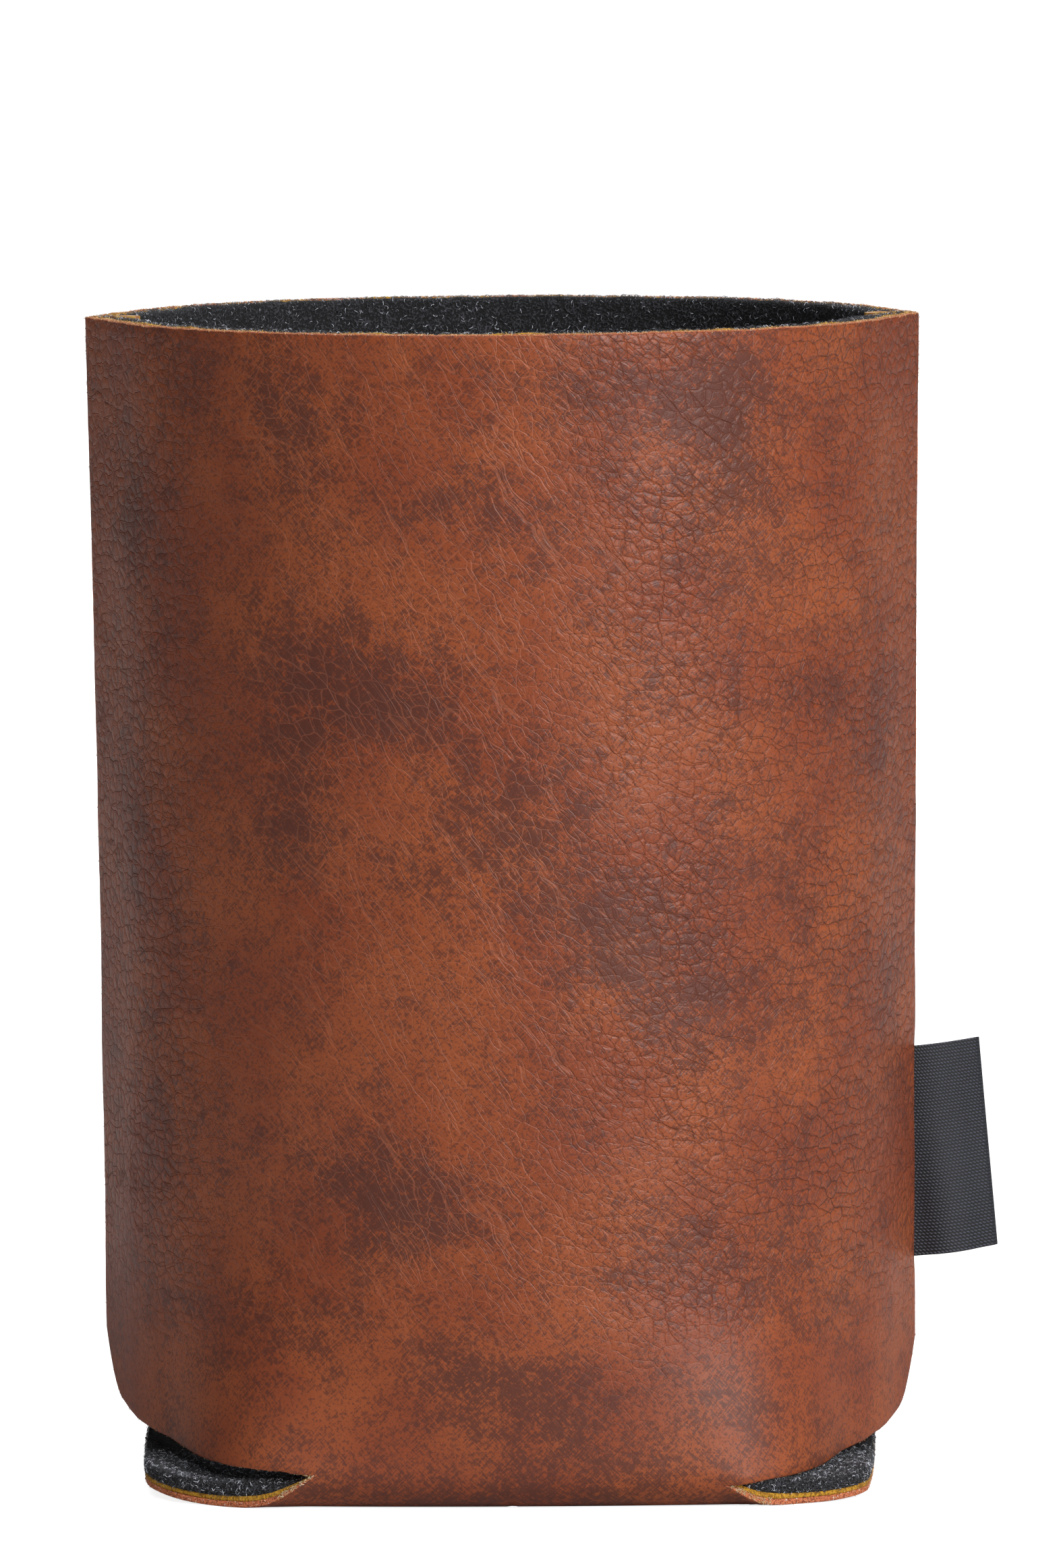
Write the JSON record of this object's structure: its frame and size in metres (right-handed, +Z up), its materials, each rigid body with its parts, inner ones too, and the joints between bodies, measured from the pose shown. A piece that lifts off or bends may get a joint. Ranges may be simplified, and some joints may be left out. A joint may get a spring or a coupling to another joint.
{
  "type": "can cooler sleeve",
  "caption": "Soft insulating sleeve, open at the top, that stands round a drink can; leatherette cover, fleece lining and a blank ribbon side tag.",
  "frame": {"origin": "on the surface that the sleeve stands on, midway between its two side seams and on the axis of the can that it holds", "axes": "+Z up along the can, +X towards the side seam that holds the tag, -Y towards the front wall"},
  "size_m": [0.0835, 0.0722, 0.105],
  "materials": {
    "leatherette": "embossed, mottled, low sheen",
    "foam": "cut foam edge, matt",
    "fleece": "brushed pile, matt",
    "weld": "rough weld bead",
    "ribbon": "plain woven ribbon"
  },
  "bodies": {
    "root": {"outer_cover": "leatherette", "foam_core": "foam", "fleece_lining": "fleece", "left_seam_bead": "weld", "right_seam_bead": "weld", "side_tag": "ribbon"}
  },
  "joints": []
}
